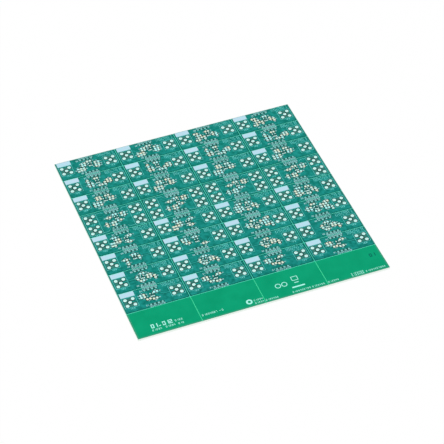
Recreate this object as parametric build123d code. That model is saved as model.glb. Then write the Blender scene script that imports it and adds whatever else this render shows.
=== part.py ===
from build123d import *
import math
import os

# Bare evaluation-board panel: glass-epoxy laminate, V-scored into four columns of small amplifier
# circuits, with a plain handling rail along the front edge. Millimetres. The origin is the middle of
# the underside, +X runs right along the rail, +Y runs back over the rows, +Z is the component side.

# Grid of circuits
COLUMNS = 4
COLUMN_PITCH = 42.33
ROW_DEPTH = 17.9             # a circuit with one connector at each end
DUAL_ROW_DEPTH = 21.8        # a circuit with two connectors at each end
FRONT_ROW_COUNT = 4          # single rows between the rail and the dual row
BACK_ROW_COUNT = 3           # single rows behind the dual row
RAIL_DEPTH = 22.2

# Laminate and V-scores
THICKNESS = 1.57
SCORE_DEPTH = 0.5            # cut into each face, which leaves a web to snap
SCORE_ANGLE = 45.0           # between the two walls of a score, degrees

# Coaxial connector footprint: four legs on a square round one pin
LEG_SPACING = 5.08
LEG_HOLE = 1.6
PIN_HOLE = 1.5
CONNECTOR_OFFSET = 15.42     # from the circuit's middle to the footprint's
DUAL_SPACING = 10.16         # between the two footprints at one end of a dual circuit
HOLE_SIDES = 6               # flats of a repeated hole

# White label block printed behind the left footprint of each single circuit
LABEL_WIDTH = 9.4
LABEL_DEPTH = 3.9
LABEL_SETBACK = 0.25         # from the score line behind it
INK_THICKNESS = 0.05

PANEL_WIDTH = COLUMNS * COLUMN_PITCH
PANEL_DEPTH = RAIL_DEPTH + (FRONT_ROW_COUNT + BACK_ROW_COUNT) * ROW_DEPTH + DUAL_ROW_DEPTH
ROW_DEPTHS = [ROW_DEPTH] * FRONT_ROW_COUNT + [DUAL_ROW_DEPTH] + [ROW_DEPTH] * BACK_ROW_COUNT
SCORE_WIDTH = 2 * SCORE_DEPTH * math.tan(math.radians(SCORE_ANGLE / 2))


def column_middles():
    """X of each column's middle, left to right."""
    first = -(COLUMNS - 1) / 2 * COLUMN_PITCH
    return [first + COLUMN_PITCH * column for column in range(COLUMNS)]


def row_fronts():
    """Y of each row's front line, then of the back edge."""
    lines = [RAIL_DEPTH - PANEL_DEPTH / 2]
    for depth in ROW_DEPTHS:
        lines.append(lines[-1] + depth)
    return lines


def row_middles():
    """Y of each row's middle, front to back."""
    fronts = row_fronts()
    return [(front + back) / 2 for front, back in zip(fronts, fronts[1:])]


def connector_places():
    """Middle of every connector footprint, starting with the front left one."""
    places = []
    for row, y in enumerate(row_middles()):
        dual = row == FRONT_ROW_COUNT
        lifts = [-DUAL_SPACING / 2, DUAL_SPACING / 2] if dual else [0]
        for x in column_middles():
            for side in (-CONNECTOR_OFFSET, CONNECTOR_OFFSET):
                places += [(x + side, y + lift) for lift in lifts]
    return places


def footprint_holes(place, leg_hole, pin_hole):
    """The five openings of one connector footprint."""
    legs = [leg * leg_hole for leg in GridLocations(LEG_SPACING, LEG_SPACING, 2, 2)]
    return [Pos(*place) * opening for opening in [pin_hole, *legs]]


def round_opening(diameter):
    return Circle(diameter / 2)


def flat_sided_opening(diameter):
    """A repeated hole, which measures its drill's diameter across the flats."""
    return RegularPolygon(diameter / 2, HOLE_SIDES, major_radius=False)


def drilled_outline():
    """The panel's outline with every connector hole in it.

    The first footprint is drilled round, because the connector mount is stated there. The others
    repeat it with flat-sided holes.
    """
    first, *others = connector_places()
    openings = footprint_holes(first, round_opening(LEG_HOLE), round_opening(PIN_HOLE))
    leg_hole = flat_sided_opening(LEG_HOLE)
    pin_hole = flat_sided_opening(PIN_HOLE)
    for place in others:
        openings += footprint_holes(place, leg_hole, pin_hole)
    return Rectangle(PANEL_WIDTH, PANEL_DEPTH) - openings


def score(length):
    """A V-shaped bar along X whose tip points down to the score's depth below Z = 0."""
    half = SCORE_WIDTH / 2
    profile = Plane.YZ * make_face(Polyline((-half, 0), (0, -SCORE_DEPTH), (half, 0), close=True))
    return extrude(profile, length / 2, both=True)


def scores():
    """All the V-scores: on both faces, between columns, between rows and behind the rail."""
    along_x = score(PANEL_WIDTH)
    along_y = Rot(Z=90) * score(PANEL_DEPTH)
    middles = column_middles()
    between_columns = [(left + right) / 2 for left, right in zip(middles, middles[1:])]
    top = [Pos(0, y, THICKNESS) * along_x for y in row_fronts()[:-1]]
    top += [Pos(x, 0, THICKNESS) * along_y for x in between_columns]
    underside = [mirror(bar, Plane.XY.offset(THICKNESS / 2)) for bar in top]
    return top + underside


def panel():
    return extrude(drilled_outline(), THICKNESS) - scores()


def label_blocks():
    """White ink fields for a written note, one behind the left footprint of each single circuit."""
    lift = THICKNESS + INK_THICKNESS / 2
    block = Box(LABEL_WIDTH, LABEL_DEPTH, INK_THICKNESS)
    blocks = []
    for row, back in enumerate(row_fronts()[1:]):
        if row != FRONT_ROW_COUNT:
            y = back - LABEL_SETBACK - LABEL_DEPTH / 2
            blocks += [Pos(x - CONNECTOR_OFFSET, y, lift) * block for x in column_middles()]
    return Compound(children=blocks)


os.makedirs("parts", exist_ok=True)
export_step(panel(), "parts/panel.step")
export_step(label_blocks(), "parts/label_blocks.step")
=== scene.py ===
import math
import bmesh
import bpy
from mathutils import Euler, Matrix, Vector
from mathutils.geometry import (delaunay_2d_cdt, intersect_line_line_2d, intersect_point_line,
                                tessellate_polygon)


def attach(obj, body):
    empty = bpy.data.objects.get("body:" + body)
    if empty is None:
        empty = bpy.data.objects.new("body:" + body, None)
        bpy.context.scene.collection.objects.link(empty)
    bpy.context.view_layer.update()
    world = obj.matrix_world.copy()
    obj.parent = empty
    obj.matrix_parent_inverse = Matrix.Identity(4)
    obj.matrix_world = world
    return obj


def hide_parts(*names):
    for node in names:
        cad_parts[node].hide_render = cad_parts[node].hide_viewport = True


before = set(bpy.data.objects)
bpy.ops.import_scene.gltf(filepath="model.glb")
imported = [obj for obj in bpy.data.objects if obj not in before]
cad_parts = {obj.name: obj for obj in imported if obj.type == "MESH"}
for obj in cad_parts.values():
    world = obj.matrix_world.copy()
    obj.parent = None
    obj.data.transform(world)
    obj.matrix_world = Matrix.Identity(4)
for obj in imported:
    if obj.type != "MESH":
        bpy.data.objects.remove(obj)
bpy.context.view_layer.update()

# Dress of the bare evaluation-board panel. Sizes and places are in millimetres, in the CAD model's
# frame: origin in the middle of the underside, +X right along the rail, +Y back, +Z up.
MM = 0.001

# ---- sizes shared with the CAD model
COLUMNS = 4
COLUMN_PITCH = 42.33
ROW_DEPTH = 17.9
DUAL_ROW_DEPTH = 21.8
FRONT_ROW_COUNT = 4
BACK_ROW_COUNT = 3
RAIL_DEPTH = 22.2
THICKNESS = 1.57
SCORE_DEPTH = 0.5
SCORE_ANGLE = 45.0
LEG_SPACING = 5.08
LEG_HOLE = 1.6
PIN_HOLE = 1.5
CONNECTOR_OFFSET = 15.42
DUAL_SPACING = 10.16
INK_THICKNESS = 0.05

PANEL_WIDTH = COLUMNS * COLUMN_PITCH
PANEL_DEPTH = RAIL_DEPTH + (FRONT_ROW_COUNT + BACK_ROW_COUNT) * ROW_DEPTH + DUAL_ROW_DEPTH
LEFT, FRONT = -PANEL_WIDTH / 2, -PANEL_DEPTH / 2
ROW_DEPTHS = [ROW_DEPTH] * FRONT_ROW_COUNT + [DUAL_ROW_DEPTH] + [ROW_DEPTH] * BACK_ROW_COUNT
HALF_SCORE = SCORE_DEPTH * math.tan(math.radians(SCORE_ANGLE / 2))

# ---- sizes of the films and lands
LEG_LAND = 2.35
PIN_LAND = 2.25
HEADER_PITCH = 2.54
HEADER_HOLES = 4
HEADER_HOLE = 0.8
HEADER_LAND = 1.2
HEADER_OFFSET = 6.4          # from a single circuit's middle to each header row
DUAL_HEADER_OFFSET = 7.35
PLATING = 0.04               # thickness of a hole's metal wall
LAND_BITE = 0.005            # how far a land reaches into the laminate
LAND_BEVEL = (0.03, 0.01)    # of its upper rim, inward and down
PAD_SIZE = (1.35, 1.7)       # of a component pad, along and across its pair
PAD_CORNER = 0.42            # rounding of its corners
AMPLIFIER_PAD = (0.6, 0.9)
AMPLIFIER_PAD_CORNER = 0.06
AMPLIFIER_PITCH = 0.95       # between the pads of a row
AMPLIFIER_SPAN = 2.4         # between its two rows
AMPLIFIER_FIELD = (3.2, 3.7)
AMPLIFIER_FIELD_CORNER = 0.6
TRACK = 0.35
CLEARANCE = 0.25             # between copper and copper
PAD_CLEARANCE = 0.45         # round a component pad
LEG_CLEARANCE = 0.3          # round the land of a connector's leg
PIN_CLEARANCE = 0.6          # round the land of its pin
SHORTEST = 0.1               # least length of a track
HOLE_MARGIN = 0.05           # least gap between a track's edge and a hole
MEETING = 0.7                # tracks that cross this near to an end meet there
FEED = 0.9                   # width of the track between a connector and the first pad
FIELD = 7.4                  # side of the darker square round a footprint
HEADER_FIELD = 1.7           # depth of the darker strip along a header row
CORNER = 0.8                 # rounding of the fields, of the strips and of the pour
MARGIN = 0.9                 # strip along each score where copper is held back
MARGIN_CORNER = 0.02         # rounding of its outer corners
POUR_LAP = 0.1               # how far the pour reaches under the land of a leg
OUTER_STRIP = 0.6            # paler strip along the circuits' outer edges, painted with the look of the side face in shade
RAIL_STRIP = 1.0             # and along the rail's
PRINT = 0.15                 # width of a printed line
FRAME = 9.2                  # side of the printed square round a connector footprint
FRAME_CORNERS = (0.2, 0.1)   # its outer and inner rounding
WHISKER = [(10.65, 9.1), (7.4, 9.1), (6.1, 7.9)]  # printed line from a tall frame inward
DASH = 0.24                  # width of the two dashes between the pads of a pair
DASH_OFFSET = 0.45           # from the pair's middle to each
DASH_GAP = 0.1               # from a dash's end to the pad

# Levels above the bare laminate, so that each film shows over the one below it
MARGIN_TOP = 0.008
POUR_TOP = 0.012
FIELD_TOP = 0.02
CLEARANCE_TOP = 0.028
TRACK_TOP = 0.036
LAND_TOP = 0.044
PRINT_TOP = INK_THICKNESS
UNDERSIDE = 0.02             # the laminate's lower face, above the lands that it stands on

WELD = 0.0005                # corners this near become one
SHARP = 35                   # degrees between faces with a sharp edge


def column_middles():
    first = -(COLUMNS - 1) / 2 * COLUMN_PITCH
    return [first + COLUMN_PITCH * column for column in range(COLUMNS)]


def row_lines():
    """Y of the panel's front edge, of each row's front line and of the back edge."""
    lines = [FRONT, RAIL_DEPTH + FRONT]
    for depth in ROW_DEPTHS:
        lines.append(lines[-1] + depth)
    return lines


def column_lines():
    return [COLUMN_PITCH * column + LEFT for column in range(COLUMNS + 1)]


# ---- circuits
# Each layout is the middle of the amplifier's pads, then the pairs of component pads as
# (x, y, pitch, across): across is 1 where the pair lies along Y. Rows count from the rail.
LAYOUT_1 = ((-0.5, 1.3), [
    (2.5, 3.25, 2.0, 0), (-6.6, 2.9, 2.2, 0), (-6.5, 1.0, 2.1, 0), (-3.5, -1.4, 2.0, 0),
    (0.6, -2.25, 2.2, 0)])
LAYOUT_2 = ((-1.0, 0.2), [
    (-0.25, 3.25, 2.0, 0), (-4.25, 0.0, 2.0, 1), (3.5, 0.75, 2.1, 0), (3.4, -1.15, 2.2, 0),
    (6.75, -2.0, 2.0, 1), (-1.9, -3.0, 1.9, 0)])
LAYOUT_3 = ((-0.8, 0.3), [
    (-2.0, 4.0, 2.0, 0), (7.5, 3.75, 2.0, 0), (2.75, 0.9, 2.2, 1), (5.75, 1.75, 2.0, 0),
    (6.1, -0.4, 2.2, 0), (6.0, -2.5, 2.0, 0), (9.25, -3.25, 2.0, 1), (-6.75, 0.5, 2.0, 1),
    (-4.4, 0.5, 2.0, 1), (-1.25, -2.75, 2.0, 0)])
LAYOUT_3_FIRST = ((0.2, 0.4), [
    (0.4, 3.1, 1.9, 0), (3.25, -0.1, 1.9, 1), (-6.1, 0.0, 1.9, 0), (-5.25, -3.25, 2.0, 1)])
LAYOUT_3_SECOND = ((0.2, 0.4), [
    (-7.5, 4.0, 2.4, 0), (-7.4, 2.0, 2.3, 0), (0.0, 3.75, 2.0, 0), (-6.0, -0.25, 2.0, 0),
    (4.4, -3.6, 2.2, 0)])
LAYOUT_4 = ((0.0, 0.3), [
    (-5.0, 3.75, 2.0, 0), (1.25, 3.4, 2.0, 0), (-6.75, 1.5, 2.0, 0), (-3.75, -0.75, 2.0, 1),
    (-6.75, -0.65, 2.0, 0), (-6.6, -2.9, 1.9, 0), (3.6, 0.25, 2.0, 1), (5.9, -1.6, 2.1, 1),
    (0.25, -3.0, 2.0, 0)])
LAYOUT_4_LEFT = ((0.8, 0.2), [
    (-6.5, 3.75, 2.0, 0), (3.5, 2.9, 2.0, 0), (-4.9, 1.5, 1.8, 0), (-9.6, -2.0, 2.4, 1),
    (-7.75, -2.0, 2.4, 1), (-4.75, -0.75, 2.0, 0), (2.0, -2.6, 2.0, 0)])
LAYOUT_DUAL = ((1.3, 1.6), [
    (0.75, 4.6, 2.0, 0), (6.4, 4.25, 2.2, 0), (6.25, 2.1, 2.0, 0), (-3.75, 2.75, 2.0, 0),
    (2.4, -1.5, 2.2, 0), (-1.75, -2.5, 2.0, 0), (-1.75, -4.6, 2.0, 0), (-6.6, -3.4, 1.9, 1)])
LAYOUT_6 = ((-0.3, 0.2), [
    (-4.0, 3.65, 2.0, 0), (-3.9, 1.8, 2.2, 0), (2.0, 3.75, 2.0, 0), (4.25, 1.25, 2.4, 0),
    (3.9, -0.75, 2.2, 0), (-3.75, -2.4, 2.1, 1), (-8.15, -2.5, 2.0, 1), (-5.9, -2.5, 2.0, 1)])
LAYOUT_7 = ((0.6, 0.6), [
    (0.4, 4.0, 1.8, 0), (-5.6, 2.6, 1.9, 1), (8.1, 0.25, 2.2, 0), (8.1, -1.65, 2.2, 0),
    (4.9, -2.5, 2.0, 1), (1.75, -3.25, 2.0, 0), (-3.25, -1.25, 2.0, 1), (-5.65, -1.3, 2.0, 1)])
LAYOUT_8 = ((1.0, -0.3), [
    (-7.0, 2.9, 2.0, 0), (1.25, 3.0, 2.0, 0), (-5.25, 0.75, 2.0, 0), (4.25, -0.25, 2.0, 1),
    (6.5, -1.9, 1.9, 1), (-7.25, -3.6, 2.0, 0), (-5.1, -1.5, 2.2, 0), (-2.0, -2.25, 2.0, 1)])
LAYOUT_8_LEFT = ((1.4, 0.4), [
    (1.25, 3.85, 2.0, 0), (-3.0, 2.6, 2.0, 0), (-3.1, 0.6, 1.9, 0), (6.0, 1.5, 2.4, 0),
    (5.9, -0.6, 2.2, 0), (5.8, -2.4, 2.0, 0), (-7.75, -2.75, 2.4, 1), (-5.85, -2.6, 1.8, 1),
    (-3.85, -2.6, 1.8, 1)])
LAYOUTS = [LAYOUT_1, LAYOUT_2, LAYOUT_3, LAYOUT_4, LAYOUT_DUAL, LAYOUT_6, LAYOUT_7, LAYOUT_8]

# Circuits that differ from the others of their row, by column and row
ODD_LAYOUTS = {(0, 2): LAYOUT_3_FIRST, (1, 2): LAYOUT_3_SECOND, (0, 3): LAYOUT_4_LEFT,
               (1, 3): LAYOUT_4_LEFT, (0, 7): LAYOUT_8_LEFT, (1, 7): LAYOUT_8_LEFT}


class Circuit:
    """One small board of the panel, with the places of all that is on it."""

    def __init__(self, column, row, x, y, depth):
        self.column = column
        self.row = row
        self.x = x
        self.y = y
        self.depth = depth
        self.dual = row == FRONT_ROW_COUNT
        lifts = [-DUAL_SPACING / 2, DUAL_SPACING / 2] if self.dual else [0]
        sides = (-CONNECTOR_OFFSET, CONNECTOR_OFFSET)
        self.pins = [(x + side, y + lift) for side in sides for lift in lifts]
        half = LEG_SPACING / 2
        self.legs = [(px + sx * half, py + sy * half)
                     for px, py in self.pins for sx in (-1, 1) for sy in (-1, 1)]
        reach = DUAL_HEADER_OFFSET if self.dual else HEADER_OFFSET
        first = -(HEADER_HOLES - 1) / 2 * HEADER_PITCH
        self.headers = [(x + first + HEADER_PITCH * hole, y + side * reach)
                        for side in (-1, 1) for hole in range(HEADER_HOLES)]
        (ax, ay), pairs = ODD_LAYOUTS.get((column, row), LAYOUTS[row])
        self.amplifier = (x + ax, y + ay)
        self.pairs = [(x + px, y + py, pitch, across) for px, py, pitch, across in pairs]

    def drills(self):
        """Every hole of the circuit as (x, y, diameter)."""
        holes = [(x, y, LEG_HOLE) for x, y in self.legs]
        holes += [(x, y, PIN_HOLE) for x, y in self.pins]
        return holes + [(x, y, HEADER_HOLE) for x, y in self.headers]


def circuits():
    lines = row_lines()[1:]
    found = []
    for row, (front, back) in enumerate(zip(lines, lines[1:])):
        for column, x in enumerate(column_middles()):
            found.append(Circuit(column, row, x, (front + back) / 2, back - front))
    return found


CIRCUITS = circuits()

# ---- outlines


def above(height):
    """The lower and the upper level of a film that stands on the laminate."""
    return THICKNESS, THICKNESS + height


def circle(x, y, diameter, segments=24):
    steps = [2 * math.pi * k / segments for k in range(segments)]
    return [(x + diameter / 2 * math.cos(a), y + diameter / 2 * math.sin(a)) for a in steps]


def rectangle(x, y, width, depth):
    half_x, half_y = width / 2, depth / 2
    return [(x - half_x, y - half_y), (x + half_x, y - half_y), (x + half_x, y + half_y),
            (x - half_x, y + half_y)]


def rounded(x, y, width, depth, radius, steps=3):
    """A rectangle with round corners, counter-clockwise from the lower right corner."""
    points = []
    for quarter, (sx, sy) in enumerate(((1, -1), (1, 1), (-1, 1), (-1, -1))):
        middle = (x + sx * (width / 2 - radius), y + sy * (depth / 2 - radius))
        for step in range(steps + 1):
            angle = math.radians(90 * (quarter - 1 + step / steps))
            points.append((middle[0] + radius * math.cos(angle),
                           middle[1] + radius * math.sin(angle)))
    return points


def bar(start, end, width, before=0.0, after=0.0):
    """A straight stroke with square ends, run past its first and last points."""
    along = (Vector(end) - Vector(start)).normalized()
    side = Vector((-along.y, along.x)) * width / 2
    low = Vector(start) - along * before
    high = Vector(end) + along * after
    return [tuple(p) for p in (low - side, high - side, high + side, low + side)]


def capsule(start, end, width, steps=5):
    """A straight stroke with round ends."""
    along = Vector(end) - Vector(start)
    heading = math.atan2(along.y, along.x)
    points = []
    for middle, turn in ((end, -math.pi / 2), (start, math.pi / 2)):
        for step in range(steps + 1):
            angle = heading + turn + math.pi * step / steps
            points.append((middle[0] + width / 2 * math.cos(angle),
                           middle[1] + width / 2 * math.sin(angle)))
    return points


# ---- solids


def placed(name, data):
    """A new object in the scene."""
    thing = bpy.data.objects.new(name, data)
    bpy.context.scene.collection.objects.link(thing)
    return thing


class Solids:
    """Closed solids in millimetres, gathered into one piece."""

    def __init__(self):
        self.points = []
        self.faces = []
        self.slots = []

    def add(self, points, faces, slot=0):
        start = len(self.points)
        self.points += points
        self.faces += [[start + corner for corner in face] for face in faces]
        self.slots += [slot] * len(faces)

    def slab(self, outline, low, high):
        """A flat solid over an outline that has no holes."""
        count = len(outline)
        points = [(x, y, z) for z in (low, high) for x, y in outline]
        faces = [list(range(count))[::-1], list(range(count, 2 * count))]
        for here in range(count):
            after = (here + 1) % count
            faces.append([here, after, count + after, count + here])
        self.add(points, faces)

    def band(self, outer, inner, low, high):
        """A flat solid between two outlines with as many points."""
        count = len(outer)
        rings = ((outer, low), (outer, high), (inner, high), (inner, low))
        points = [(x, y, z) for loop, z in rings for x, y in loop]
        faces = []
        for loop in range(4):
            for here in range(count):
                after = (here + 1) % count
                inward = (loop + 1) % 4
                faces.append([loop * count + here, loop * count + after, inward * count + after,
                              inward * count + here])
        self.add(points, faces)

    def cap(self, outline, holes, z, slot=0):
        """A flat face with holes."""
        loops = [[Vector((x, y, 0)) for x, y in loop] for loop in [outline, *holes]]
        points = [(p.x, p.y, z) for loop in loops for p in loop]
        self.add(points, [list(corners) for corners in tessellate_polygon(loops)], slot)

    def wall(self, outline, low, high, slot=0):
        """The upright wall along a closed outline."""
        count = len(outline)
        points = [(x, y, z) for z in (low, high) for x, y in outline]
        faces = [[here, (here + 1) % count, count + (here + 1) % count, count + here]
                 for here in range(count)]
        self.add(points, faces, slot)

    def pierced(self, outline, holes, low, high):
        """A flat solid with holes."""
        for z in (low, high):
            self.cap(outline, holes, z)
        for loop in [outline, *holes]:
            self.wall(loop, low, high)

    def merged(self, outlines, holes, low, high, marked=0):
        """One flat solid over outlines that may overlap, less some holes. The top takes the
        second material inside the first marked outlines."""
        loops = [*outlines, *holes]
        points = [Vector(point) for loop in loops for point in loop]
        starts = [sum(len(loop) for loop in loops[:k]) for k in range(len(loops))]
        rims = [list(range(start, start + len(loop))) for start, loop in zip(starts, loops)]
        found, _, faces, _, _, origins = delaunay_2d_cdt(points, [], rims, 1, 0.00001, True)
        inside = [(list(face), min(origin) < marked) for face, origin in zip(faces, origins)
                  if origin and max(origin) < len(outlines)]
        kept = [face for face, _ in inside]
        count = len(found)
        edges = {(face[k], face[(k + 1) % len(face)]) for face in kept for k in range(len(face))}
        shape = [face[::-1] for face in kept]
        shape += [[count + corner for corner in face] for face in kept]
        shape += [[a, b, count + b, count + a] for a, b in edges if (b, a) not in edges]
        start = len(self.slots) + len(kept)
        self.add([(x, y, z) for z in (low, high) for x, y in found], shape)
        self.slots[start:start + len(kept)] = [int(second) for _, second in inside]

    def turned(self, x, y, profile, segments, dark_row):
        """A closed profile of (radius, height) turned about an upright axis. The faces that
        start from point dark_row take the second material."""
        count = len(profile)
        points = []
        for k in range(segments):
            c, s = math.cos(2 * math.pi * k / segments), math.sin(2 * math.pi * k / segments)
            points += [(x + r * c, y + r * s, z) for r, z in profile]
        faces = []
        for k in range(segments):
            here, after = k * count, (k + 1) % segments * count
            for p in range(count):
                q = (p + 1) % count
                faces.append([here + p, after + p, after + q, here + q])
        self.add(points, faces)
        for k in range(segments):
            self.slots[-1 - k * count - (count - 1 - dark_row)] = 1

    def piece(self, name, slot, materials):
        """Weld the solids, name them as one piece and hand it to the frame."""
        mesh = bpy.data.meshes.new(name)
        mesh.from_pydata([Vector(p) * MM for p in self.points], [], self.faces)
        mesh.polygons.foreach_set("material_index", self.slots)
        shape = bmesh.new()
        shape.from_mesh(mesh)
        bmesh.ops.remove_doubles(shape, verts=shape.verts, dist=WELD * MM)
        loose = [corner for corner in shape.verts if not corner.link_faces]
        bmesh.ops.delete(shape, geom=loose, context="VERTS")
        bmesh.ops.recalc_face_normals(shape, faces=shape.faces)
        shape.to_mesh(mesh)
        shape.free()
        mesh.shade_smooth()
        mesh.set_sharp_from_angle(angle=math.radians(SHARP))
        for material in materials:
            mesh.materials.append(material)
        piece = placed(name, mesh)
        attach(piece, "root")
        return piece


# ---- materials


def linear(red, green, blue):
    """A colour given as a screen shows it, 0 to 255, as Blender takes it."""
    def one(value):
        value /= 255
        return value / 12.92 if value <= 0.04045 else ((value + 0.055) / 1.055) ** 2.4
    return (one(red), one(green), one(blue), 1.0)


def settle(node, settings):
    """Give a node's inputs their values."""
    for name, value in settings.items():
        node.inputs[name].default_value = value
    return node


class Finish:
    """A node material: a base colour that drifts between two screen tones, with its own bump."""

    def __init__(self, name, light, dark, roughness, specular=0.5, metallic=0.0):
        self.material = bpy.data.materials.new(name)
        self.material.use_nodes = True
        self.nodes = self.material.node_tree.nodes
        self.links = self.material.node_tree.links
        self.shader = settle(self.nodes["Principled BSDF"], {
            "Roughness": roughness, "Specular IOR Level": specular, "Metallic": metallic})
        self.place = self.nodes.new("ShaderNodeTexCoord").outputs["Object"]
        self.tones = self.nodes.new("ShaderNodeMix")
        self.tones.data_type = "RGBA"
        settle(self.tones, {"A": linear(*light), "B": linear(*dark)})
        self.links.new(self.tones.outputs["Result"], self.shader.inputs["Base Color"])
        self.height = None

    def add(self, kind, source, socket, settings):
        """A new node with its settings, fed by a source."""
        node = settle(self.nodes.new(kind), settings)
        self.links.new(source, node.inputs[socket])
        return node

    def noise(self, size):
        """Noise whose features are about size millimetres across."""
        settings = {"Scale": 1 / (size * MM), "Detail": 3.0}
        return self.add("ShaderNodeTexNoise", self.place, "Vector", settings).outputs["Fac"]

    def bands(self, size, direction, twist=0.0):
        """Even bands, size millimetres apart, across one axis."""
        settings = {"Scale": math.pi / 10 / (size * MM), "Distortion": twist}
        node = self.add("ShaderNodeTexWave", self.place, "Vector", settings)
        node.bands_direction = direction
        return node.outputs["Fac"]

    def spread(self, value, low, high):
        """Stretch a value so that low becomes 0 and high becomes 1."""
        settings = {"From Min": low, "From Max": high}
        return self.add("ShaderNodeMapRange", value, "Value", settings).outputs["Result"]

    def drift(self, value):
        self.links.new(value, self.tones.inputs["Factor"])

    def roughen(self, value, low, high):
        node = self.add("ShaderNodeMapRange", value, "Value", {"To Min": low, "To Max": high})
        self.links.new(node.outputs["Result"], self.shader.inputs["Roughness"])

    def bump(self, value, depth):
        """Add relief of depth millimetres over the relief already there."""
        settings = {"Strength": 1.0, "Distance": depth * MM}
        node = self.add("ShaderNodeBump", value, "Height", settings)
        if self.height:
            self.links.new(self.height, node.inputs["Normal"])
        self.height = node.outputs["Normal"]
        self.links.new(self.height, self.shader.inputs["Normal"])


def mask(name, light, dark, drift=9.0):
    """Cured solder mask: smooth, a little uneven, with the glass weave showing faintly through."""
    finish = Finish(name, light, dark, 0.35, specular=0.03)
    finish.drift(finish.spread(finish.noise(drift), 0.35, 0.7))
    finish.roughen(finish.noise(3.0), 0.3, 0.45)
    finish.bump(finish.bands(0.45, "X", 0.6), 0.0006)
    finish.bump(finish.bands(0.45, "Y", 0.6), 0.0006)
    finish.bump(finish.noise(1.2), 0.002)
    return finish.material


def print_ink(name, light, dark):
    finish = Finish(name, light, dark, 0.6, specular=0.3)
    finish.drift(finish.spread(finish.noise(2.5), 0.35, 0.7))
    finish.bump(finish.noise(0.25), 0.004)
    return finish.material


def plated(name, light, dark, drift=0.9):
    finish = Finish(name, light, dark, 0.3, metallic=1.0)
    finish.drift(finish.spread(finish.noise(drift), 0.4, 0.6))
    finish.roughen(finish.noise(0.4), 0.25, 0.45)
    finish.bump(finish.noise(0.35), 0.004)
    return finish.material


def raw_laminate(name, light, dark):
    finish = Finish(name, light, dark, 0.7, specular=0.3)
    finish.drift(finish.bands(0.2, "Z", 2.0))
    finish.bump(finish.noise(0.12), 0.02)
    return finish.material


RAIL_MASK = mask("mask_over_rail", (6, 164, 118), (2, 156, 111))
# Painted shade: the strips along the rail's outer edges stand in for the board's side face, its
# laminate seen edge-on in shade.
RAIL_SIDE_SHADE = mask("painted_side_shade_at_the_rail_edges", (58, 160, 126), (50, 154, 120))
MARGIN_MASK = mask("mask_over_bare_laminate", (3, 104, 92), (2, 98, 86))
# Painted shade: the strips along the circuits' outer edges stand in for the board's side face, its
# laminate seen edge-on in shade.
OUTER_SIDE_SHADE = mask("painted_side_shade_at_the_edges", (66, 156, 142), (56, 148, 132))
POUR_MASK = mask("mask_over_copper", (28, 150, 141), (4, 116, 104), drift=2.4)
TRACK_MASK = mask("mask_over_tracks", (36, 160, 148), (26, 148, 136))
GAP_MASK = mask("mask_in_the_gaps", (6, 50, 48), (4, 42, 40))
WINDOW = mask("bare_laminate_windows", (40, 34, 24), (32, 28, 18))
FIELD_MASK = mask("mask_round_footprints", (60, 132, 121), (52, 122, 111))
STRIP_MASK = mask("mask_round_headers", (38, 99, 92), (31, 89, 84))
WHITE_INK = print_ink("white_ink", (192, 222, 240), (178, 228, 240))
LINE_INK = print_ink("printed_lines", (126, 234, 230), (114, 226, 222))
FINE_INK = print_ink("printed_numbers", (186, 234, 238), (170, 226, 232))
RAIL_INK = print_ink("printed_figures", (186, 255, 246), (170, 252, 238))
SILVER = plated("plated_lands", (222, 255, 252), (210, 255, 247))
SMALL_LAND = plated("plated_small_lands", (178, 252, 246), (164, 246, 240))
DEEP = plated("plated_hole_walls", (160, 236, 230), (146, 224, 218))
# Partly painted glint: the pads' plating drifts at random into a cream tone that stands in for the
# gold glint at their edges.
GOLD_AND_GLINT = plated("plated_pads", (176, 250, 248), (228, 236, 212), drift=3.0)
CUT = raw_laminate("cut_laminate", (112, 248, 208), (96, 240, 198))
PALE_CUT = raw_laminate("cut_laminate_pale", (124, 244, 228), (108, 236, 218))
# Painted light: the cut edges are pale laminate, raised to near white so that the side face reads
# as lit.
EDGE = raw_laminate("cut_edges_with_painted_light", (250, 255, 250), (238, 252, 242))

# ---- the laminate

# The board's materials, in the order of their slots
BOARD_MATERIALS = [RAIL_MASK, GAP_MASK, CUT, EDGE, PALE_CUT]
RAIL_FACE, CIRCUIT_FACE, RAIL_SCORE, RIM, CIRCUIT_SCORE = range(len(BOARD_MATERIALS))


def tile(body, left, right, front, back, drills):
    """One tile of the board, out to the valleys of its scores. Only a circuit has drills."""
    slot = CIRCUIT_FACE if drills else RAIL_FACE

    def inset(line, edge):
        return 0.0 if math.isclose(abs(line), edge / 2) else HALF_SCORE
    x = (left + inset(left, PANEL_WIDTH), right - inset(right, PANEL_WIDTH))
    y = (front + inset(front, PANEL_DEPTH), back - inset(back, PANEL_DEPTH))
    face = [(x[0], y[0]), (x[1], y[0]), (x[1], y[1]), (x[0], y[1])]
    valley = [(left, front), (right, front), (right, back), (left, back)]
    holes = [circle(hx, hy, diameter) for hx, hy, diameter in drills]
    body.cap(face, holes, THICKNESS, slot)
    body.cap(face, holes, UNDERSIDE, slot)
    for hole in holes:
        body.wall(hole, UNDERSIDE, THICKNESS, slot)
    levels = (THICKNESS, THICKNESS - SCORE_DEPTH, SCORE_DEPTH, UNDERSIDE)
    for here in range(4):
        after = (here + 1) % 4
        rows = [[(*loop[corner], z) for corner in (here, after)]
                for loop, z in zip((face, valley, valley, face), levels)]
        on_edge = any(math.isclose(abs(face[here][axis]), edge / 2)
                      and math.isclose(face[here][axis], face[after][axis])
                      for axis, edge in ((0, PANEL_WIDTH), (1, PANEL_DEPTH)))
        if on_edge:
            down = [row[0] for row in rows]
            up = [row[1] for row in reversed(rows)]
            body.add(down + up, [list(range(8))], RIM)
        else:
            cut = CIRCUIT_SCORE if drills else RAIL_SCORE
            for top, low in ((rows[0], rows[1]), (rows[2], rows[3])):
                body.add([*top, *reversed(low)], [[0, 1, 2, 3]], cut)


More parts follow.
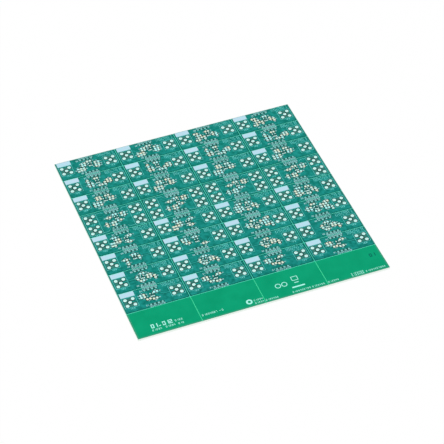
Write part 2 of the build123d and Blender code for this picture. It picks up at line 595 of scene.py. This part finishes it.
def board():
    body = Solids()
    columns = column_lines()
    rows = row_lines()
    drilled = {(c.column, c.row): c.drills() for c in CIRCUITS}
    for column, (left, right) in enumerate(zip(columns, columns[1:])):
        for row, (front, back) in enumerate(zip(rows, rows[1:])):
            tile(body, left, right, front, back, drilled.get((column, row - 1), []))
    piece = body.piece("scored_board", "solder_mask", BOARD_MATERIALS)
    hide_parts("panel")


# ---- copper under the mask


def pour_outline(circuit):
    width = COLUMN_PITCH - 2 * MARGIN
    depth = circuit.depth - 2 * MARGIN
    return rounded(circuit.x, circuit.y, width, depth, CORNER)


def pours():
    """The copper field of each circuit on both faces, open round every hole."""
    body = Solids()
    for circuit in CIRCUITS:
        outline = pour_outline(circuit)
        legs = [circle(x, y, LEG_LAND - 2 * POUR_LAP) for x, y in circuit.legs]
        pins = [circle(x, y, PIN_LAND + 2 * CLEARANCE) for x, y in circuit.pins]
        headers = [circle(x, y, HEADER_LAND + 2 * CLEARANCE, 20) for x, y in circuit.headers]
        holes = legs + pins + headers
        for face in (THICKNESS, UNDERSIDE):
            body.pierced(outline, holes, face - POUR_TOP, face + POUR_TOP)
    body.piece("copper_pours", "solder_mask", [POUR_MASK])


def open_size(circuit):
    """Width and depth of a circuit between the rims of the scores round it."""
    return COLUMN_PITCH - 2 * HALF_SCORE, circuit.depth - 2 * HALF_SCORE


def margins():
    """The strips along the scores, where the mask lies on bare laminate."""
    body = Solids()
    for circuit in CIRCUITS:
        outer = rounded(circuit.x, circuit.y, *open_size(circuit), MARGIN_CORNER)
        body.band(outer, pour_outline(circuit), THICKNESS - MARGIN_TOP, THICKNESS + MARGIN_TOP)
    body.piece("bare_margins", "solder_mask", [MARGIN_MASK])


def outer_sides(column):
    """Which sides of a column lie on the panel's own edge, as -1 and 1."""
    return [side for side, end in ((-1, 0), (1, COLUMNS - 1)) if column == end]


def outer_strips():
    """Strips along the circuits' outer edges, painted with the look of the board's side face in
    shade: the laminate's own edge colour with painted shade.
    """
    body = Solids()
    for circuit in CIRCUITS:
        width, depth = open_size(circuit)
        strips = [rectangle(side * (PANEL_WIDTH - OUTER_STRIP) / 2, circuit.y, OUTER_STRIP, depth)
                  for side in outer_sides(circuit.column)]
        if circuit.row == len(ROW_DEPTHS) - 1:
            strips.append(rectangle(circuit.x, (PANEL_DEPTH - OUTER_STRIP) / 2, width, OUTER_STRIP))
        if strips:
            body.merged(strips, [], *above(FIELD_TOP))
    body.piece("outer_strips", "solder_mask", [OUTER_SIDE_SHADE])


def rail_edge_strips():
    """Strips along the rail's outer edges, painted with the look of the board's side face in shade:
    the laminate's own edge colour with painted shade.
    """
    body = Solids()
    depth = RAIL_DEPTH - HALF_SCORE
    for column, x in enumerate(column_middles()):
        strips = [rectangle(x, FRONT + RAIL_STRIP / 2, COLUMN_PITCH - 2 * HALF_SCORE, RAIL_STRIP)]
        strips += [rectangle(side * (PANEL_WIDTH - RAIL_STRIP) / 2, FRONT + depth / 2, RAIL_STRIP,
                             depth) for side in outer_sides(column)]
        body.merged(strips, [], *above(MARGIN_TOP))
    body.piece("rail_edge_strips", "solder_mask", [RAIL_SIDE_SHADE])


def pad_places(pair):
    x, y, pitch, across = pair
    dx, dy = (0, pitch / 2) if across else (pitch / 2, 0)
    return [(x - dx, y - dy), (x + dx, y + dy)]


def pad_outline(place, across, growth=0.0):
    along, over = PAD_SIZE
    width, depth = (over, along) if across else (along, over)
    return rounded(*place, width + 2 * growth, depth + 2 * growth, PAD_CORNER + growth / 2)


def amplifier_pads(circuit):
    """Three pads in front and two behind, as (x, y)."""
    x, y = circuit.amplifier
    front = [(x + step * AMPLIFIER_PITCH, y - AMPLIFIER_SPAN / 2) for step in (-1, 0, 1)]
    back = [(x + step * AMPLIFIER_PITCH, y + AMPLIFIER_SPAN / 2) for step in (-1, 1)]
    return front + back


def route(start, end):
    """A track's corners: 45 degrees first, then straight. A leg shorter than 0.05 is left out."""
    dx, dy = end[0] - start[0], end[1] - start[1]
    slant = min(abs(dx), abs(dy))
    corner = (start[0] + math.copysign(slant, dx), start[1] + math.copysign(slant, dy))
    points = [start, corner, end]
    return [p for k, p in enumerate(points) if k == 0 or math.dist(p, points[k - 1]) > 0.05]


def toward(start, end, length):
    """The point that lies length along the way from start to end."""
    share = length / math.dist(start, end)
    return (start[0] + (end[0] - start[0]) * share, start[1] + (end[1] - start[1]) * share)


def clears(circuit, start, end):
    """Whether a straight track keeps off every hole of its circuit."""
    for x, y, diameter in circuit.drills():
        nearest, share = intersect_point_line(Vector((x, y)), Vector(start), Vector(end))
        if share < 0 or share > 1:
            nearest = Vector(start if share < 0 else end)
        if (nearest.xy - Vector((x, y))).length < diameter / 2 + TRACK / 2 + HOLE_MARGIN:
            return False
    return True


def crosses(start, end, others):
    """Whether a straight track crosses one of the others away from its own ends."""
    for first, last, _ in others:
        point = intersect_line_line_2d(start, end, first, last)
        if point and min(math.dist(point, start), math.dist(point, end)) > MEETING:
            return True
    return False


def tracks_of(circuit):
    """The tracks on the component side, as runs from point to point with a width. A feed leaves
    its connector straight, the others set out at 45 degrees."""
    pads = [pad_places(pair) for pair in sorted(circuit.pairs)]
    places = [place for pair in pads for place in pair] + amplifier_pads(circuit)

    def nearest(point):
        others = [place for place in places if math.dist(place, point) > SHORTEST]
        return min(others, key=lambda place: math.dist(place, point))

    ends = [(pin, nearest(pin), PIN_LAND / 2, FEED) for pin in circuit.pins]
    ends += [(left[1], right[0], 0.0, TRACK) for left, right in zip(pads, pads[1:])]
    ends += [(hole, nearest(hole), HEADER_LAND / 2, TRACK) for hole in circuit.headers]
    ends += [(pad, nearest(pad), 0.0, TRACK) for pad in amplifier_pads(circuit)]
    runs = []
    for start, end, rim, width in ends:
        corners = route(end, start)[::-1] if width == FEED else route(start, end)
        if math.dist(corners[0], corners[1]) > rim + SHORTEST:
            corners[0] = toward(corners[0], corners[1], rim)
        else:
            corners = corners[1:]
        legs = list(zip(corners, corners[1:]))
        if all(clears(circuit, *leg) and not crosses(*leg, runs) for leg in legs):
            runs += [(*leg, width) for leg in legs]
    return runs


def fields():
    """Darker fields, free of pour, round the footprints, the headers and the amplifiers."""
    body = Solids()
    strips = Solids()
    levels = above(FIELD_TOP)
    for circuit in CIRCUITS:
        for x, y in circuit.pins:
            near = [hole for hole in circuit.drills() if math.dist(hole[:2], (x, y)) < LEG_SPACING]
            outline = rounded(x, y, FIELD, FIELD, CORNER)
            body.pierced(outline, [circle(*hole) for hole in near], *levels)
        for side in (0, 1):
            row = circuit.headers[side * HEADER_HOLES:(side + 1) * HEADER_HOLES]
            width = HEADER_HOLES * HEADER_PITCH
            outline = rounded(circuit.x, row[0][1], width, HEADER_FIELD, CORNER)
            strips.pierced(outline, [circle(x, y, HEADER_HOLE, 18) for x, y in row], *levels)
        outline = rounded(*circuit.amplifier, *AMPLIFIER_FIELD, AMPLIFIER_FIELD_CORNER)
        strips.slab(outline, *levels)
    body.piece("copper_free_fields", "solder_mask", [FIELD_MASK])
    strips.piece("bare_strips", "solder_mask", [STRIP_MASK])


def tracks():
    """The tracks under the mask, the gaps that keep them and the connectors' lands off the
    pour, and the bare windows round the pads."""
    gaps = Solids()
    copper = Solids()
    for circuit in CIRCUITS:
        runs = tracks_of(circuit)
        windows = [pad_outline(place, pair[3], PAD_CLEARANCE)
                   for pair in circuit.pairs for place in pad_places(pair)]
        wide = [capsule(start, end, width + 2 * CLEARANCE) for start, end, width in runs]
        wide += [circle(x, y, LEG_LAND + 2 * LEG_CLEARANCE) for x, y in circuit.legs]
        wide += [circle(x, y, PIN_LAND + 2 * PIN_CLEARANCE) for x, y in circuit.pins]
        drills = [circle(*hole) for hole in circuit.drills()]
        gaps.merged(windows + wide, drills, *above(CLEARANCE_TOP), marked=len(windows))
        if runs:
            copper.merged([capsule(*run) for run in runs], drills, *above(TRACK_TOP))
    gaps.piece("isolation_gaps", "solder_mask", [GAP_MASK, WINDOW])
    copper.piece("tracks", "solder_mask", [TRACK_MASK])


# ---- lands


def eyelet(body, x, y, land, hole, segments):
    """A plated hole: a land on each face and the metal wall between them."""
    outer, wall, bore = land / 2, hole / 2, hole / 2 - PLATING
    low, high, top = UNDERSIDE + LAND_BITE, THICKNESS - LAND_BITE, THICKNESS + LAND_TOP
    inward, down = LAND_BEVEL
    profile = [(bore, 0.0), (outer, 0.0), (outer, low), (wall, low), (wall, high), (outer, high),
               (outer, top - down), (outer - inward, top), (bore, top)]
    body.turned(x, y, profile, segments, dark_row=len(profile) - 1)


def lands():
    """The plated lands and hole walls of the connectors and of the headers."""
    connectors = Solids()
    headers = Solids()
    for circuit in CIRCUITS:
        for x, y in circuit.legs:
            eyelet(connectors, x, y, LEG_LAND, LEG_HOLE, 20)
        for x, y in circuit.pins:
            eyelet(connectors, x, y, PIN_LAND, PIN_HOLE, 20)
        for x, y in circuit.headers:
            eyelet(headers, x, y, HEADER_LAND, HEADER_HOLE, 16)
    connectors.piece("connector_lands", "plated_copper", [SILVER, SILVER])
    headers.piece("header_lands", "plated_copper", [SMALL_LAND, DEEP])


def pads():
    """The bare pads of the components and of the amplifiers."""
    components = Solids()
    amplifiers = Solids()
    for circuit in CIRCUITS:
        for pair in circuit.pairs:
            for place in pad_places(pair):
                components.slab(pad_outline(place, pair[3]), *above(LAND_TOP))
        for place in amplifier_pads(circuit):
            amplifiers.slab(rounded(*place, *AMPLIFIER_PAD, AMPLIFIER_PAD_CORNER), *above(LAND_TOP))
    components.piece("component_pads", "plated_copper", [GOLD_AND_GLINT])
    amplifiers.piece("amplifier_pads", "plated_copper", [SILVER])


# ---- print

# The strokes of plain numerals, in shares of a cell
STROKES = {"a": ((0, 1), (1, 1)), "b": ((1, 0.5), (1, 1)), "c": ((1, 0), (1, 0.5)),
           "d": ((0, 0), (1, 0)), "e": ((0, 0), (0, 0.5)), "f": ((0, 0.5), (0, 1)),
           "g": ((0, 0.5), (1, 0.5))}
DIGIT_WIDTH = 0.55           # of a cell, in heights
NUMERALS = ["abcdef", "bc", "abged", "abgcd", "fgbc", "afgcd", "afgecd", "abc", "abcdefg", "abcdfg"]

# Columns of digits that run back beyond the header holes. A digit's size is (height, stroke).
COLUMN_DIGIT = (0.8, 0.14)
COLUMN_OFFSETS = (-0.15, 1.07)  # from a hole's middle to its two columns
COLUMN_STEP = 0.76           # from digit to digit
COLUMN_GAP = 0.85            # from a hole's middle to its digits
COLUMN_ROOM = 0.55           # kept free at a column's end
EDGE_GAP = 0.35              # from the circuit's edge to the columns

# The short number at the left of each header
HEADER_DIGIT = (0.9, 0.18)
HEADER_START = (-6.9, -0.45)  # from the header's middle

# Lines of digits in the back right corner
CORNER_DIGIT = (0.75, 0.11)
CORNER_START = (7.8, -1.2)   # from the middle of the circuit's back edge
CORNER_LINE = 1.1            # from line to line

# Short numbers beside the pads, between middles
SPOT_DIGIT = (0.7, 0.15)
SPOT_START = (-0.5, -0.35)   # from a number's middle to its first corner
SPOT_BESIDE = (1.45, 1.6)    # from a pair along X, and from one along Y
SPOT_BEYOND = 1.35           # past a pad along Y
SPOT_WIDER = 0.25            # more than that along X
SPOT_GAPS = (1.3, 1.1, 1.35)  # from pads, from holes and tiny pads, from each other
SPOT_REACH = 9.6             # most from the circuit's middle along X
SPOT_MARGIN = 3.7            # least from its front and back edges

# The number in front of each footprint as (gap to the frame, height)
FOOT_SINGLE = (1.35, 0.95)
FOOT_DUAL = (0.9, 0.7)
FOOT_MIDDLE = 0.9            # height of the one inside a dual circuit's frame
FOOT_START = -1.6            # from the footprint's middle
FOOT_STEP = 1.1875           # from digit to digit

# Rows on the rail: height, stroke and pitch of the digits, then each row's (first, last, y) from
# the panel's front left corner
RAIL_ROWS = [((2.6, 0.6, 2.3), [(11.2, 15.2, 5.8)]), ((2.6, 0.55, 2.2), [(18.7, 24.8, 5.8)]),
             ((1.15, 0.22, 1.3), [(26.5, 31.4, 6.0), (10.8, 17.4, 3.2), (19.6, 26.0, 3.2),
                                  (27.8, 31.4, 3.0), (43.7, 54.2, 3.9), (56.8, 57.6, 3.9)]),
             ((1.0, 0.19, 1.25), [(78.2, 84.1, 4.0), (78.2, 84.1, 1.6), (85.4, 94.0, 1.6),
                                  (103.6, 115.9, 1.8), (116.9, 126.2, 1.8), (127.8, 135.0, 1.8),
                                  (144.0, 152.9, 1.3), (144.0, 152.9, 2.9), (153.8, 167.2, 1.9)])]
# Rings as (x, y, outer, inner), then bars as (x, y, length, width)
RAIL_RINGS = [(75.0, 4.5, 4.1, 2.1), (96.8, 10.6, 3.9, 2.9), (101.1, 10.6, 3.9, 2.9)]
RAIL_BARS = [(16.5, 6.1, 1.2, 0.6), (55.5, 4.5, 0.9, 0.25), (109.0, 9.6, 2.8, 0.6),
             (109.0, 6.05, 8.5, 1.05)]


def overruns(digit, stroke, width):
    """How far a stroke runs past its ends, so that strokes meet and none overlap."""
    if stroke in "adg":
        return width / 2, width / 2
    across = {0.0: "d", 0.5: "g", 1.0: "a"}
    reach = []
    for _, v in STROKES[stroke]:
        crossed = across[float(v)] in NUMERALS[digit]
        reach.append(-width / 2 if crossed else 0.0 if v == 0.5 else width / 2)
    return reach


def numerals(body, digits, x, y, height, width, turned=False, spacing=0.95, top=PRINT_TOP):
    """Plain digits along X or, when turned, along Y. None leaves a space. Spacing is in heights."""
    for place, digit in enumerate(digits):
        for stroke in NUMERALS[digit] if digit is not None else ():
            ends = []
            for u, v in STROKES[stroke]:
                u = (u * DIGIT_WIDTH + place * spacing) * height
                v = v * height
                ends.append((x - v, y + u) if turned else (x + u, y + v))
            body.slab(bar(*ends, width, *overruns(digit, stroke, width)), *above(top))


def footprint_frames():
    """A printed frame round each connector, or round both of a dual circuit's end."""
    body = Solids()
    for circuit in CIRCUITS:
        tall = DUAL_SPACING if circuit.dual else 0.0
        for side in (-1, 1):
            x = circuit.x + side * CONNECTOR_OFFSET
            outer = rounded(x, circuit.y, FRAME, FRAME + tall, FRAME_CORNERS[0])
            inner = rounded(x, circuit.y, FRAME - 2 * PRINT, FRAME + tall - 2 * PRINT,
                            FRAME_CORNERS[1])
            body.band(outer, inner, *above(PRINT_TOP))
            for end in (-1, 1) if circuit.dual else ():
                bend = [(circuit.x + side * u, circuit.y + end * v) for u, v in WHISKER]
                strokes = [capsule(*leg, PRINT) for leg in zip(bend, bend[1:])]
                body.merged(strokes, [], *above(PRINT_TOP))
    body.piece("footprint_frames", "white_ink", [LINE_INK])


def pair_marks():
    """Two printed dashes between the pads of each pair."""
    body = Solids()
    for circuit in CIRCUITS:
        for x, y, pitch, across in circuit.pairs:
            length = pitch - PAD_SIZE[0] - 2 * DASH_GAP
            for offset in (-DASH_OFFSET, DASH_OFFSET):
                if across:
                    dash = rectangle(x + offset, y, DASH, length)
                else:
                    dash = rectangle(x, y + offset, length, DASH)
                body.slab(dash, *above(PRINT_TOP))
    body.piece("pair_marks", "white_ink", [FINE_INK])


def free_spots(circuit):
    """Places for a short number beside the pads, clear of pads, holes, frames and one another."""
    places = [place for pair in circuit.pairs for place in pad_places(pair)]
    small = [hole[:2] for hole in circuit.drills()] + amplifier_pads(circuit)
    found = []
    for x, y, pitch, across in circuit.pairs:
        beside, reach = SPOT_BESIDE[across], pitch / 2 + SPOT_BEYOND
        ways = ((beside, 0), (0, reach)) if across else ((0, beside), (reach + SPOT_WIDER, 0))
        for dx, dy in ways:
            for sign in (-1, 1):
                spot = (x + sign * dx, y + sign * dy)
                clear = all(math.dist(spot, place) > gap
                            for kind, gap in zip((places, small, found), SPOT_GAPS)
                            for place in kind)
                inside = (abs(spot[0] - circuit.x) < SPOT_REACH
                          and abs(spot[1] - circuit.y) < circuit.depth / 2 - SPOT_MARGIN)
                if clear and inside:
                    found.append(spot)
    return found


def header_figures(body, circuit):
    """Digits from each header hole to the circuit's edge, and a short number at the left of each
    header, where no whisker is in the way."""
    half = circuit.depth / 2
    for place, (x, y) in enumerate(circuit.headers):
        if y > circuit.y:
            low, high = y + COLUMN_GAP, circuit.y + half - EDGE_GAP
        else:
            low, high = circuit.y - half + EDGE_GAP, y - COLUMN_GAP
        count = max(1, int((high - low - COLUMN_ROOM) / COLUMN_STEP) + 1)
        for line, offset in enumerate(COLUMN_OFFSETS):
            digits = [(place * 7 + line * 4 + k * 3 + circuit.row * 5) % 10 for k in range(count)]
            numerals(body, digits, x + offset, low, *COLUMN_DIGIT, turned=True)
    for first in () if circuit.dual else (0, HEADER_HOLES):
        x, y = circuit.x + HEADER_START[0], circuit.headers[first][1] + HEADER_START[1]
        numerals(body, [2 + first, 1 + circuit.row], x, y, *HEADER_DIGIT)


def corner_lines(body, circuit):
    """Three lines of figures in the back right corner, with a space in each."""
    x, y = circuit.x + CORNER_START[0], circuit.y + circuit.depth / 2 + CORNER_START[1]
    for line in range(3):
        spaces = (4 + line, 9 + circuit.row % 2)
        digits = [None if k in spaces else (line * 7 + k * 3 + circuit.row) % 10
                  for k in range(12)]
        numerals(body, digits, x, y - CORNER_LINE * line, *CORNER_DIGIT, spacing=1.35)


def footprint_figures(body, circuit):
    """A short number in front of each frame, or, in a tall frame, in front of each footprint."""
    for x, y in circuit.pins:
        gap, height = FOOT_DUAL if circuit.dual else FOOT_SINGLE
        low = y - FRAME / 2 - gap
        if circuit.dual and y > circuit.y:
            height = FOOT_MIDDLE
            low = circuit.y - height / 2
        numerals(body, [1, 2, 3], x + FOOT_START, low, height, 0.2 * height,
                 spacing=FOOT_STEP / height)


def legends():
    """Plain numbers where the board carries its legends."""
    fine = Solids()
    body = Solids()
    for circuit in CIRCUITS:
        header_figures(fine, circuit)
        if not circuit.dual:
            corner_lines(body, circuit)
        for order, (x, y) in enumerate(free_spots(circuit)):
            x, y = x + SPOT_START[0], y + SPOT_START[1]
            numerals(fine, [order // 9 + 1, order % 9 + 1], x, y, *SPOT_DIGIT)
        footprint_figures(body, circuit)
    fine.piece("header_numbers", "white_ink", [FINE_INK])
    body.piece("plain_numbers", "white_ink", [LINE_INK])


def rail_line(body, first, last, y, height, width, pitch):
    """Plain digits that count up from one place along the rail to another."""
    count = int((last - first - DIGIT_WIDTH * height) / pitch) + 1
    digits = [k % 10 for k in range(count)]
    numerals(body, digits, LEFT + first, FRONT + y, height, width, spacing=pitch / height)


def rail_marks():
    """Plain figures, rings and bars on the rail, in place of the printed notices."""
    levels = above(PRINT_TOP)
    body = Solids()
    for style, rows in RAIL_ROWS:
        for row in rows:
            rail_line(body, *row, *style)
    for x, y, outer, inner in RAIL_RINGS:
        rings = [circle(LEFT + x, FRONT + y, diameter, 32) for diameter in (outer, inner)]
        body.band(*rings, *levels)
    x, y = LEFT + 109.0, FRONT + 13.2
    body.band(rounded(x, y, 4.4, 3.6, 0.4), rounded(x, y, 3.6, 2.8, 0.1), *levels)
    for x, y, length, width in RAIL_BARS:
        body.slab(rectangle(LEFT + x, FRONT + y, length, width), *levels)
    body.piece("rail_numbers", "white_ink", [RAIL_INK])
    dark = Solids()
    numerals(dark, [0, 1], LEFT + 161.6, FRONT + 13.2, 2.3, 0.5, spacing=1.0, top=CLEARANCE_TOP)
    dark.piece("rail_figures", "solder_mask", [MARGIN_MASK])


# ---- stage


WHITE = (1.0, 1.0, 1.0, 1.0)
FLOOR_REACH = 3000           # from the middle of the floor to its sides
FLOOR_GLOW = 0.96            # share of plain white that the camera sees on it

# The camera, fitted to the photo's connector lands
LENS = 153.44
AIM = (0.15, -7.75, 1.71)
DISTANCE = 1229.5
BACK = (-0.2559, -0.6665, 0.7003)  # from the aim to the camera
ROLL = -0.25                 # degrees


def seen_plainly(nodes, links):
    """1 for rays from the camera and from glossy faces, 0 for all that light the part."""
    rays = nodes.new("ShaderNodeLightPath")
    seen = nodes.new("ShaderNodeMath")
    seen.operation = "MAXIMUM"
    links.new(rays.outputs["Is Camera Ray"], seen.inputs[0])
    links.new(rays.outputs["Is Glossy Ray"], seen.inputs[1])
    return seen.outputs["Value"]


def blend(tree, share, first, second, output):
    """Mix two shader nodes into the output."""
    mixed = tree.nodes.new("ShaderNodeMixShader")
    sources = (share, first.outputs[0], second.outputs[0])
    for source, socket in zip(sources, mixed.inputs):
        tree.links.new(source, socket)
    tree.links.new(mixed.outputs["Shader"], output.inputs["Surface"])


def floor():
    """A white floor that keeps a faint contact shadow."""
    mesh = bpy.data.meshes.new("floor")
    corners = rectangle(0, 0, 2 * FLOOR_REACH, 2 * FLOOR_REACH)
    mesh.from_pydata([(x * MM, y * MM, 0.0) for x, y in corners], [], [[0, 1, 2, 3]])
    material = bpy.data.materials.new("white_floor")
    material.use_nodes = True
    nodes, links = material.node_tree.nodes, material.node_tree.links
    shader = settle(nodes["Principled BSDF"], {
        "Base Color": (0.99, 0.99, 0.99, 1.0), "Roughness": 0.9, "Specular IOR Level": 0.0})
    glow = settle(nodes.new("ShaderNodeEmission"), {"Strength": 1.0})
    share = nodes.new("ShaderNodeMath")
    share.operation = "MULTIPLY"
    share.inputs[1].default_value = FLOOR_GLOW
    links.new(seen_plainly(nodes, links), share.inputs[0])
    blend(material.node_tree, share.outputs["Value"], shader, glow, nodes["Material Output"])
    mesh.materials.append(material)
    placed("floor", mesh)


def light():
    """A white world that lights the part a little less than it shows, and one soft lamp."""
    world = bpy.data.worlds.new("studio")
    bpy.context.scene.world = world
    world.use_nodes = True
    nodes, links = world.node_tree.nodes, world.node_tree.links
    shown, fill = nodes["Background"], nodes.new("ShaderNodeBackground")
    settle(shown, {"Color": WHITE, "Strength": 1.0})
    settle(fill, {"Color": WHITE, "Strength": 0.85})
    blend(world.node_tree, seen_plainly(nodes, links), fill, shown, nodes["World Output"])

    lamp = bpy.data.lights.new("softbox", "AREA")
    lamp.size = 1.2
    lamp.energy = 4.5
    softbox = placed("softbox", lamp)
    softbox.location = (-0.5, 0.1, 1.6)
    softbox.rotation_euler = (-softbox.location).to_track_quat("-Z", "Y").to_euler()


def camera():
    lens = bpy.data.cameras.new("camera")
    lens.sensor_width = 36.0
    lens.lens = LENS
    eye = placed("camera", lens)
    back = Vector(BACK).normalized()
    eye.location = Vector(AIM) * MM + back * (DISTANCE * MM)
    eye.rotation_mode = "QUATERNION"
    roll = Euler((0, 0, math.radians(ROLL))).to_quaternion()
    eye.rotation_quaternion = (-back).to_track_quat("-Z", "Y") @ roll
    bpy.context.scene.camera = eye


def dress_label_blocks():
    """White ink on the label blocks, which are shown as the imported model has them."""
    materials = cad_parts["label_blocks"].data.materials
    materials.clear()
    materials.append(WHITE_INK)


board()
margins()
outer_strips()
rail_edge_strips()
pours()
fields()
tracks()
lands()
pads()
footprint_frames()
pair_marks()
legends()
rail_marks()
dress_label_blocks()
floor()
light()
camera()
bpy.context.scene.view_settings.view_transform = "Standard"
